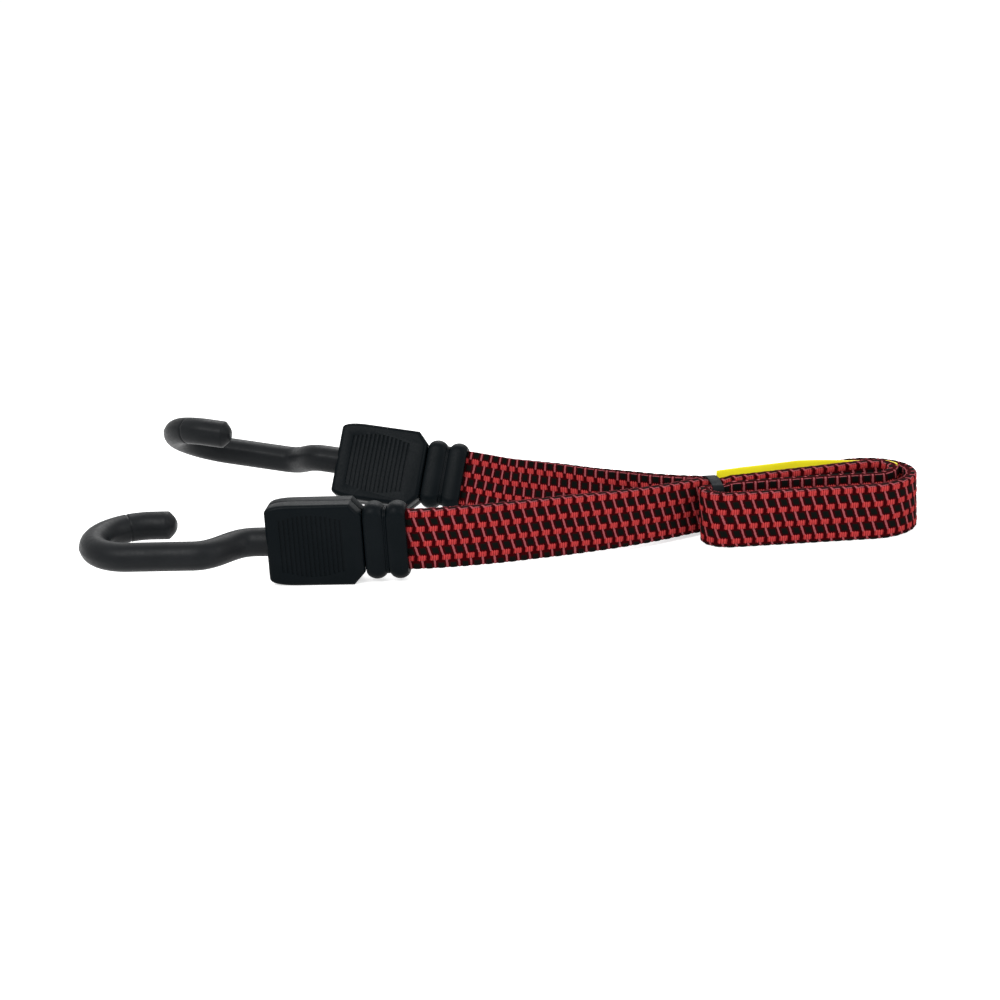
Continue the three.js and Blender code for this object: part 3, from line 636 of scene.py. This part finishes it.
# Zinc-plated steel: a grey, slightly cloudy metal
def platedSteel():
    own = steelLook
    material, add, shader = newMaterial("zincPlatedSteel", own["roughness"], own["specular"], metallic=1.0)
    streak = add("TexNoise", add("TexCoord", output="Object"), Scale=own["streaksPerMm"] / mm)
    colour = add("MixRGB", streak, linear(own["dark"]), linear(own["pale"]))
    rough = add("MapRange", streak, *own["span"], *own["uneven"], **smoothStep)
    fillInputs(shader, {"Base Color": colour, "Roughness": rough})
    return material


sheathMaterial = wovenFabric()
# Filled nylon from a fine matt mould: near black and even, with a dull sheen on its rounded edges only
headMaterial = mouldedPlastic("mouldedHeadPlastic", {
    "colour": "#050a0d", "worn": "#080d10", "roughness": 0.38, "specular": 0.045,
    "grainsPerMm": 1.8, "depth": 0.02,
})
# Soft vinyl, moulded: as dark as the head and a little duller
collarMaterial = mouldedPlastic("softCollarPlastic", {
    "colour": "#050a0d", "worn": "#090e11", "roughness": 0.42, "specular": 0.05,
    "grainsPerMm": 1.5, "depth": 0.03,
})
# Plastic moulded thickly over the wire: charcoal grey, with a soft highlight along its upper side
hookMaterial = mouldedPlastic("hookCoatPlastic", {
    "colour": "#101214", "worn": "#16181a", "roughness": 0.42, "specular": 0.1,
    "grainsPerMm": 0.9, "depth": 0.05,
})
# Extruded flat strip: slate grey and matt
tieMaterial = mouldedPlastic("slateTieStrip", {
    "colour": "#0d1012", "worn": "#13171a", "roughness": 0.5, "specular": 0.05,
    "grainsPerMm": 1.2, "depth": 0.02,
})
# Printed and varnished card: one bright yellow with a soft shine
cardMaterial = mouldedPlastic("yellowCoatedCard", {
    "colour": "#f2e81e", "worn": "#ece018", "roughness": 0.5, "specular": 0.3,
    "grainsPerMm": 0.6, "depth": 0.01,
})
# Extruded natural rubber: dull and honey coloured
rubberMaterial = mouldedPlastic("naturalRubber", {
    "colour": "#b9a57c", "worn": "#a8946c", "roughness": 0.7, "specular": 0.3,
    "grainsPerMm": 0.7, "depth": 0.03,
})
steelMaterial = platedSteel()
print("materials made")


def giveMaterial(piece, material):
    piece.data.materials.clear()
    piece.data.materials.append(material)


for piece in strapPieces.values():
    giveMaterial(piece, sheathMaterial)


def finishPiece(piece, matrix, material, slotName, body, *nodes):
    piece.data.transform(matrix)
    piece.matrix_world = Matrix.Identity(4)
    giveMaterial(piece, material)
    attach(piece, body)
    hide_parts(*nodes)


def deselectAll():
    for chosen in list(bpy.context.selected_objects):
        chosen.select_set(False)


def selectOnly(piece):
    deselectAll()
    piece.select_set(True)
    bpy.context.view_layer.objects.active = piece


# Starts a piece from a filled, flat ring of points
def startRing(name, points):
    deselectAll()
    bpy.ops.mesh.primitive_circle_add(vertices=len(points), radius=mm, fill_type="NGON")
    piece = bpy.context.active_object
    piece.name = name
    for vertex, point in zip(piece.data.vertices, points):
        vertex.co = Vector(point) * mm
    return piece


def editAll():
    bpy.ops.object.mode_set(mode="EDIT")
    bpy.ops.mesh.select_all(action="SELECT")


def leaveEdit():
    bpy.ops.object.mode_set(mode="OBJECT")


mergeReach = 0.002


def outwardNormals(piece):
    bpy.context.view_layer.objects.active = piece
    editAll()
    bpy.ops.mesh.remove_doubles(threshold=mergeReach * mm)
    bpy.ops.mesh.normals_make_consistent(inside=False)
    leaveEdit()


def applyModifier(piece, kind, **settings):
    selectOnly(piece)
    made = piece.modifiers.new("work", kind)
    for name, value in settings.items():
        setattr(made, name, value)
    bpy.ops.object.modifier_apply(modifier=made.name)


def softenEdges(piece, sizes):
    applyModifier(piece, "BEVEL", width=sizes["softEdge"] * mm, segments=2, limit_method="ANGLE",
                  angle_limit=math.radians(sizes["softAngle"]))


def smoothByAngle(piece, angle):
    selectOnly(piece)
    bpy.ops.object.shade_smooth_by_angle(angle=math.radians(angle))


def blockAt(low, high):
    deselectAll()
    low, high = Vector(low) * mm, Vector(high) * mm
    bpy.ops.mesh.primitive_cube_add(size=1, location=(low + high) / 2, scale=high - low)
    bpy.ops.object.transform_apply(location=True, rotation=False, scale=True)
    return bpy.context.active_object


def joinPieces(pieces):
    deselectAll()
    for piece in pieces:
        piece.select_set(True)
    bpy.context.view_layer.objects.active = pieces[0]
    bpy.ops.object.join()
    return bpy.context.active_object


def cutAway(piece, cutter):
    applyModifier(piece, "BOOLEAN", object=cutter, operation="DIFFERENCE", solver="EXACT")
    bpy.data.objects.remove(cutter)


headSizes = {
    "start": 14.0,
    "length": 31.0,
    "height": 27.0,
    "endHeight": 21.8,
    "cornerHeight": 19.2,
    "cornerLength": 3.6,
    "shoulderShare": 0.7,
    "shoulderPoints": 15,
    "thickness": 10.4,
    "seam": 0.3,
    "edge": 1.5,
    "edgeSteps": 4,
    "edgeProfile": 0.6,
    "gripStart": 21.3,
    "gripCount": 13,
    "gripPitch": 1.5,
    "ridgeWidth": 0.75,
    "gripDepth": 0.32,
    "gripOverrun": 1.0,
    "gripHeight": 20.5,
    "gripEndHeight": 17.3,
    "wireHole": 4.96,
    "wireHoleDepth": 6.0,
    "wireHoleInset": 1.3,
    "wireHoleSides": 48,
    "slotWide": 19.8,
    "slotThick": 4.1,
    "slotDepth": 3.0,
    "slotOverrun": 1.0,
    "softEdge": 0.12,
    "softAngle": 40,
    "smoothAngle": 35,
    "sameLevel": 0.001,
}


def headOutline():
    own = headSizes
    nose, half = own["start"] + own["length"], own["height"] / 2
    shoulder = own["start"] + own["length"] * own["shoulderShare"]
    top = [(own["start"], own["cornerHeight"] / 2), (own["start"] + own["cornerLength"], half)]
    for t in np.linspace(0, 1, own["shoulderPoints"]):
        x = (1 - t) ** 2 * shoulder + 2 * t * (1 - t) * nose + t**2 * nose
        w = (1 - t) ** 2 * half + 2 * t * (1 - t) * half + t**2 * own["endHeight"] / 2
        top.append((x, w))
    return top + [(x, -w) for x, w in reversed(top)]


# The grooves of the grip are shorter towards its two ends
def gripCuts(hand, face):
    own = headSizes
    cuts = []
    length = (own["gripCount"] - 1) * own["gripPitch"]
    wide = (own["gripPitch"] - own["ridgeWidth"]) / 2
    deep = sorted((face - hand * own["gripDepth"], face + hand * own["gripOverrun"]))
    for i in range(own["gripCount"] + 1):
        middle = own["gripStart"] + (i - 0.5) * own["gripPitch"]
        along = min(max(middle, own["gripStart"]), own["gripStart"] + length)
        off = (2 * (along - own["gripStart"]) - length) / length
        half = (own["gripHeight"] - (own["gripHeight"] - own["gripEndHeight"]) * off**2) / 2
        cuts.append(blockAt((middle - wide, deep[0], -half), (middle + wide, deep[1], half)))
    return joinPieces(cuts)


def wireHole():
    own = headSizes
    middle = own["start"] + own["length"] - own["wireHoleInset"]
    deselectAll()
    bpy.ops.mesh.primitive_cylinder_add(vertices=own["wireHoleSides"], radius=own["wireHole"] * mm,
                                        depth=own["wireHoleDepth"] * mm, location=(middle * mm, 0, 0),
                                        rotation=(0, math.pi / 2, 0))
    bpy.ops.object.transform_apply(location=True, rotation=True, scale=True)
    return bpy.context.active_object


# A block that cuts the strap's slot
def strapSlot(start, stop):
    halfThick, halfWide = headSizes["slotThick"] / 2, headSizes["slotWide"] / 2
    return blockAt((start, -halfThick, -halfWide), (stop, halfThick, halfWide))


# One shell of the head, with its flat side on the seam and its ridged grip outside
def makeHeadShell(name, hand):
    own = headSizes
    seam, face = hand * own["seam"] / 2, hand * own["thickness"] / 2
    shell = startRing(name, [(x, seam, w) for x, w in headOutline()])
    editAll()
    bpy.ops.mesh.extrude_region_move(TRANSFORM_OT_translate={"value": (0, (face - seam) * mm, 0)})
    leaveEdit()
    corners = shell.data.vertices
    for edge in shell.data.edges:
        edge.select = all(abs(corners[v].co.y - face * mm) < own["sameLevel"] * mm for v in edge.vertices)
    bpy.ops.object.mode_set(mode="EDIT")
    bpy.ops.mesh.select_mode(type="EDGE")
    bpy.ops.mesh.bevel(offset=own["edge"] * mm, segments=own["edgeSteps"], profile=own["edgeProfile"],
                       affect="EDGES")
    leaveEdit()
    outwardNormals(shell)
    cutAway(shell, gripCuts(hand, face))
    cutAway(shell, wireHole())
    cutAway(shell, strapSlot(own["start"] - own["slotOverrun"], own["start"] + own["slotDepth"]))
    softenEdges(shell, own)
    smoothByAngle(shell, own["smoothAngle"])
    return shell


collarSizes = {
    "bulges": ((13.7, 7.35), (6.15, 0.0)),
    "bulgePoints": 15,
    "bulgeShares": (0.02, 0.98),
    "bulgePower": 0.55,
    "thin": 3.85,
    "thick": 4.66,
    "low": 10.2,
    "tall": 12.0,
    # The double ring between the bulges: place along the end, half thickness and half height
    "ring": (
        (7.25, 3.9, 10.1), (7.15, 4.1, 10.4), (6.85, 4.1, 10.4), (6.78, 3.95, 10.15), (6.72, 3.95, 10.15),
        (6.65, 4.1, 10.4), (6.35, 4.1, 10.4), (6.25, 3.9, 10.1),
    ),
    "cornerShare": 0.8,
    "cornerSteps": 10,
    "slotSpan": (-1.0, 15.0),
    "smoothAngle": 40,
}


# Stations along the collar, from the head to its mouth
def layCollar(stretch):
    own = collarSizes
    bulges = []
    for start, stop in own["bulges"]:
        rows = []
        for t in np.linspace(*own["bulgeShares"], own["bulgePoints"]):
            swell = math.sin(math.pi * t) ** own["bulgePower"]
            thick = own["thin"] + (own["thick"] - own["thin"]) * swell
            high = own["low"] + (own["tall"] - own["low"]) * swell
            rows.append((start + (stop - start) * t, thick, high))
        bulges.append(rows)
    return [(x, thick, high * stretch) for x, thick, high in (*bulges[0], *own["ring"], *bulges[1])]


def collarRing(halfThick, halfHigh):
    steps = collarSizes["cornerSteps"]
    radius = halfThick * collarSizes["cornerShare"]
    points = []
    for sideY, sideZ, start in ((1, -1, -90), (1, 1, 0), (-1, 1, 90), (-1, -1, 180)):
        for i in range(steps + 1):
            angle = math.radians(start + 90 * i / steps)
            points.append((sideY * (halfThick - radius) + radius * math.cos(angle),
                           sideZ * (halfHigh - radius) + radius * math.sin(angle)))
    return points


def makeCollar(name, stretch):
    rows = layCollar(stretch)
    x, thick, high = rows[0]
    collar = startRing(name, [(x, y, w) for y, w in collarRing(thick, high)])
    editAll()
    for (x0, thick0, high0), (x1, thick1, high1) in zip(rows, rows[1:]):
        bpy.ops.mesh.extrude_region_move(TRANSFORM_OT_translate={"value": ((x1 - x0) * mm, 0, 0)})
        bpy.ops.transform.resize(value=(1, thick1 / thick0, high1 / high0), center_override=(x1 * mm, 0, 0))
    leaveEdit()
    outwardNormals(collar)
    cutAway(collar, strapSlot(*collarSizes["slotSpan"]))
    smoothByAngle(collar, collarSizes["smoothAngle"])
    return collar


hookSizes = {
    "coatRadius": 4.66,
    "start": 41.0,
    "shankEnd": 49.5,
    "jogLength": 17.8,
    "jog": 12.1,
    "jogPoints": 60,
    "legEnd": 88.1,
    "bendRadius": 15.1,
    "bendPoints": 120,
    "tipLength": 5.5,
    "tipRound": 2.5,
    "tipShare": 0.36,
    "tipPower": 0.75,
    "grooveDepth": 0.05,
    "grooveReach": 0.2,
    "grooveBack": 8.0,  # from the bend's end back to the moulding ring
    "step": 0.4,
    "sides": 40,
    "partingRise": 0.16,
    "partingWidth": 0.1,
    "smoothAngle": 40,
}


def hookLine():
    own = hookSizes
    t = np.linspace(0, 1, own["jogPoints"])[:, None]
    a, b = np.array([own["shankEnd"], 0]), np.array([own["shankEnd"] + own["jogLength"], own["jog"]])
    m1, m2 = np.array([(a[0] + b[0]) / 2, 0]), np.array([(a[0] + b[0]) / 2, own["jog"]])
    jog = (1 - t) ** 3 * a + 3 * t * (1 - t) ** 2 * m1 + 3 * t**2 * (1 - t) * m2 + t**3 * b
    angle = np.linspace(math.pi / 2, -math.pi / 2, own["bendPoints"])
    radius = own["bendRadius"]
    bendX, bendY = own["legEnd"] + radius * np.cos(angle), own["jog"] - radius + radius * np.sin(angle)
    bend = np.stack([bendX, bendY], -1)
    tip = np.array([own["legEnd"] - own["tipLength"] - own["tipRound"], own["jog"] - 2 * radius])
    line = np.vstack([[own["start"], 0], jog, bend, tip])
    gone = runOf(line)
    at = np.linspace(0, gone[-1], int(gone[-1] / own["step"]) + 1)
    even = np.stack([np.interp(at, gone, line[:, 0]), np.interp(at, gone, line[:, 1])], -1)
    ring = gone[-2] - own["grooveBack"]
    size = 1 - own["grooveDepth"] * np.exp(-(((at - ring) / own["grooveReach"]) ** 2))
    toTip = gone[-1] - at
    rounded = np.clip(toTip / own["tipRound"], 0, 1) ** own["tipPower"]
    size *= np.where(toTip < own["tipRound"], own["tipShare"] + (1 - own["tipShare"]) * rounded, 1)
    return even, size


# The coated wire: a round bar with a fine parting line, swept along the hook
def makeHook(name):
    own = hookSizes
    line, sizes = hookLine()
    section = bpy.data.curves.new(name + "Section", "CURVE")
    section.dimensions = "2D"
    ring = section.splines.new("POLY")
    ring.points.add(own["sides"] - 1)
    for i, point in enumerate(ring.points):
        angle = 2 * math.pi * i / own["sides"]
        parting = math.exp(-((math.sin(angle) / own["partingWidth"]) ** 2))
        reach = (own["coatRadius"] + own["partingRise"] * parting) * mm
        point.co = (reach * math.cos(angle), reach * math.sin(angle), 0, 1)
    ring.use_cyclic_u = True
    sectionObject = newObject(name + "Section", section)
    curve = bpy.data.curves.new(name, "CURVE")
    curve.dimensions = "3D"
    curve.bevel_mode = "OBJECT"
    curve.bevel_object = sectionObject
    curve.use_fill_caps = True
    path = curve.splines.new("POLY")
    path.points.add(len(line) - 1)
    for point, (x, y), size in zip(path.points, line, sizes):
        point.co = (x * mm, y * mm, 0, 1)
        point.radius = size
    selectOnly(newObject(name, curve))
    bpy.ops.object.convert(target="MESH")
    bar = bpy.context.active_object
    bpy.data.objects.remove(sectionObject)
    outwardNormals(bar)
    smoothByAngle(bar, own["smoothAngle"])
    return bar


for side, end in ends.items():
    matrix = endMatrix(end)
    body = f"{side}_end"
    for word, hand, nodeWord in (("JogShell", 1, "jog_side"), ("TipShell", -1, "tip_side")):
        shell = makeHeadShell(f"{side}{word}", hand)
        finishPiece(shell, matrix, headMaterial, "head_plastic", body, f"{side}_head_shell_{nodeWord}")
    collar = makeCollar(f"{side}Collar", end["collarStretch"])
    finishPiece(collar, matrix, collarMaterial, "soft_collar", body, f"{side}_collar")
    hook = makeHook(f"{side}Hook")
    finishPiece(hook, matrix, hookMaterial, "hook_coat", body, f"{side}_hook_coating")
    print(side, "end made")

tieSizes = {
    "x": 71.6,
    "length": 3.6,
    "thickness": 0.6,
    "near": 11.45,
    "far": 24.75,
    "top": 17.4,
    "bottom": 0.6,
    "corner": 1.6,
    "cornerSteps": 8,
    "arch": 1.1,
    "archPoints": 9,
    "archShares": (0.1, 0.9),
    "skew": -0.2,
    "softEdge": 0.18,
    "softAngle": 50,
    "smoothAngle": 35,
}


# The tie's section: a rounded rectangle whose top side arches
def tieLoop():
    own = tieSizes
    near, far, top, bottom = own["near"], own["far"], own["top"], own["bottom"]
    radius = own["corner"]
    loop = []
    for y, w, start in ((far, bottom, 270), (far, top, 0), (near, top, 90), (near, bottom, 180)):
        inY = y - radius if y == far else y + radius
        inW = w - radius if w == top else w + radius
        for i in range(own["cornerSteps"] + 1):
            angle = math.radians(start + 90 * i / own["cornerSteps"])
            loop.append((inY + radius * math.cos(angle), inW + radius * math.sin(angle)))
        if w == top and y == far:
            for t in np.linspace(*own["archShares"], own["archPoints"]):
                archY = far - radius - t * (far - near - 2 * radius)
                loop.append((archY, top + own["arch"] * 4 * t * (1 - t)))
    return loop


# The tie: a thin flat strip round three walls
def makeTie():
    own = tieSizes
    start = own["x"] - own["length"] / 2
    band = startRing("bundleTie", [(start + own["skew"] * (y - own["near"]), y, w) for y, w in tieLoop()])
    editAll()
    bpy.ops.mesh.delete(type="ONLY_FACE")
    bpy.ops.mesh.select_all(action="SELECT")
    bpy.ops.mesh.extrude_region_move(TRANSFORM_OT_translate={"value": (own["length"] * mm, 0, 0)})
    bpy.ops.mesh.select_all(action="SELECT")
    bpy.ops.mesh.normals_make_consistent(inside=False)
    leaveEdit()
    applyModifier(band, "SOLIDIFY", thickness=own["thickness"] * mm, offset=1)
    softenEdges(band, own)
    outwardNormals(band)
    smoothByAngle(band, own["smoothAngle"])
    return band


cardSizes = {
    "thickness": 0.45,
    "bottom": 0.9,
    "tallest": 20.9,
    "startX": 70.4,
    "endAngle": 18.0,
    "offset": 2.275,
    "columns": 120,
    "rows": 24,
    "bendPoints": 30,
    "joinBack": 8,  # so many points back and on steer the curve from wall to bend
    "joinOn": 4,
    "topShares": [(0, 0.76), (0.018, 0.76), (0.023, 0.98), (0.07, 0.99), (0.15, 1), (0.46, 1), (0.56, 0.98),
                  (0.655, 0.952), (0.71, 0.928), (0.8, 0.905), (1, 0.89)],
    "softEdge": 0.1,
    "softAngle": 60,
    "smoothAngle": 40,
}


# The card's route: beside wall D, then round the back of the inner bend
def cardLine():
    own = cardSizes
    wall = wallDLine[:, :2][::-1]
    way = np.gradient(wall, axis=0)
    way /= np.linalg.norm(way, axis=1)[:, None]
    beside = wall + np.stack([way[:, 1], -way[:, 0]], -1) * own["offset"]
    beside = beside[(beside[:, 0] > own["startX"]) & (beside[:, 0] < bundleRoute["runOut"])]
    x, y, radius = bundleRoute["innerBend"]
    reach = radius + own["offset"]
    angles = np.radians(np.linspace(90 + bundleRoute["middleTilt"], own["endAngle"], own["bendPoints"]))
    bend = np.stack([x + reach * np.cos(angles), y + reach * np.sin(angles)], -1)
    steps = own["bendPoints"]
    knots = (beside[-own["joinBack"]], beside[-1], bend[0], bend[own["joinOn"]])
    between = lineThrough([(*knot, 0) for knot in knots], steps)[steps : 2 * steps + 1, :2]
    return np.vstack([beside, between[1:-1], bend])


# The card: a thin sheet that stands on its edge
def makeCard():
    own = cardSizes
    line = cardLine()
    gone = runOf(line)
    turns = gone[-1] * np.array([share for share, _ in own["topShares"]])
    at = np.unique(np.concatenate([np.linspace(0, gone[-1], own["columns"]), turns]))
    even = np.stack([np.interp(at, gone, line[:, 0]), np.interp(at, gone, line[:, 1])], -1)
    top = own["tallest"] * np.interp(at / gone[-1], *zip(*own["topShares"]))
    deselectAll()
    bpy.ops.mesh.primitive_grid_add(x_subdivisions=len(at) - 1, y_subdivisions=own["rows"], size=mm)
    card = bpy.context.active_object
    card.name = "labelCard"
    for i, vertex in enumerate(card.data.vertices):
        row, column = divmod(i, len(at))
        high = own["bottom"] + (top[column] - own["bottom"]) * row / own["rows"]
        vertex.co = Vector((even[column, 0], even[column, 1], high)) * mm
    applyModifier(card, "SOLIDIFY", thickness=own["thickness"] * mm, offset=0)
    softenEdges(card, own)
    outwardNormals(card)
    smoothByAngle(card, own["smoothAngle"])
    return card


shiftMatrix = Matrix.Translation(Vector(rowShift * mm))
tie = makeTie()
finishPiece(tie, shiftMatrix, tieMaterial, "tie_strip", "bundle", "bundle_tie")
card = makeCard()
finishPiece(card, shiftMatrix, cardMaterial, "yellow_card", "bundle", "label_card")
print("tie and card made")

keptNodes = {
    "hook_wire": steelMaterial, "strap_clamp": steelMaterial, "tail_strap": sheathMaterial,
    "tail_core": rubberMaterial,
}
for side in ends:
    for word, material in keptNodes.items():
        giveMaterial(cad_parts[f"{side}_{word}"], material)

# Lamps have their place, width and power. Places and widths in the studio are in metres
studioSizes = {
    "floor": 20,
    "floorColour": (0.8, 0.8, 0.8, 1),
    "floorGlow": 0.63,
    "worldLight": 0.5,
    "worldGlow": 0.5,
    "lamps": {
        "keyLamp": ((-0.5, -0.7, 0.9), 0.7, 11),
        "fillLamp": ((0.8, -0.5, 0.6), 0.8, 5),
        "backLamp": ((0.1, 0.8, 0.8), 0.7, 7),
    },
}


# What the camera sees, by itself or in a shiny or clear face, gets the strength. The object's light doesn't
def seenOnly(tree, strength):
    add = partial(addNode, tree)
    rays = ("Is Camera Ray", "Is Glossy Ray", "Is Transmission Ray")
    camera, glossy, clear = (add("LightPath", output=name) for name in rays)
    seen = add("Math", camera, add("Math", glossy, clear, operation="MAXIMUM"), operation="MAXIMUM")
    return add("Math", seen, strength, operation="MULTIPLY")


# Studio: a pale floor, a pale surround and soft lamps
def makeStudio():
    own = studioSizes
    scene = bpy.context.scene
    scene.view_settings.view_transform = "Standard"
    deselectAll()
    bpy.ops.mesh.primitive_plane_add(size=own["floor"], location=(0, 0, 0))
    floor = bpy.context.active_object
    floor.name = "floor"
    material = bpy.data.materials.new("paleFloor")
    material.use_nodes = True
    tree = material.node_tree
    tree.nodes.remove(tree.nodes["Principled BSDF"])
    matt = addNode(tree, "BsdfDiffuse", own["floorColour"])
    glow = addNode(tree, "Emission", (1, 1, 1, 1), seenOnly(tree, own["floorGlow"]))
    fillInputs(tree.nodes["Material Output"], {"Surface": addNode(tree, "AddShader", matt, glow)})
    floor.data.materials.append(material)
    world = bpy.data.worlds.new("studio")
    scene.world = world
    world.use_nodes = True
    tree = world.node_tree
    strength = addNode(tree, "Math", seenOnly(tree, own["worldGlow"]), own["worldLight"], operation="ADD")
    fillInputs(tree.nodes["Background"], {"Color": (1, 1, 1, 1), "Strength": strength})
    for name, (place, size, power) in own["lamps"].items():
        data = bpy.data.lights.new(name, "AREA")
        data.energy = power
        data.size = size
        lamp = newObject(name, data)
        lamp.location = place
        lamp.rotation_euler = (-Vector(place)).to_track_quat("-Z", "Y").to_euler()


makeStudio()
print("studio made")
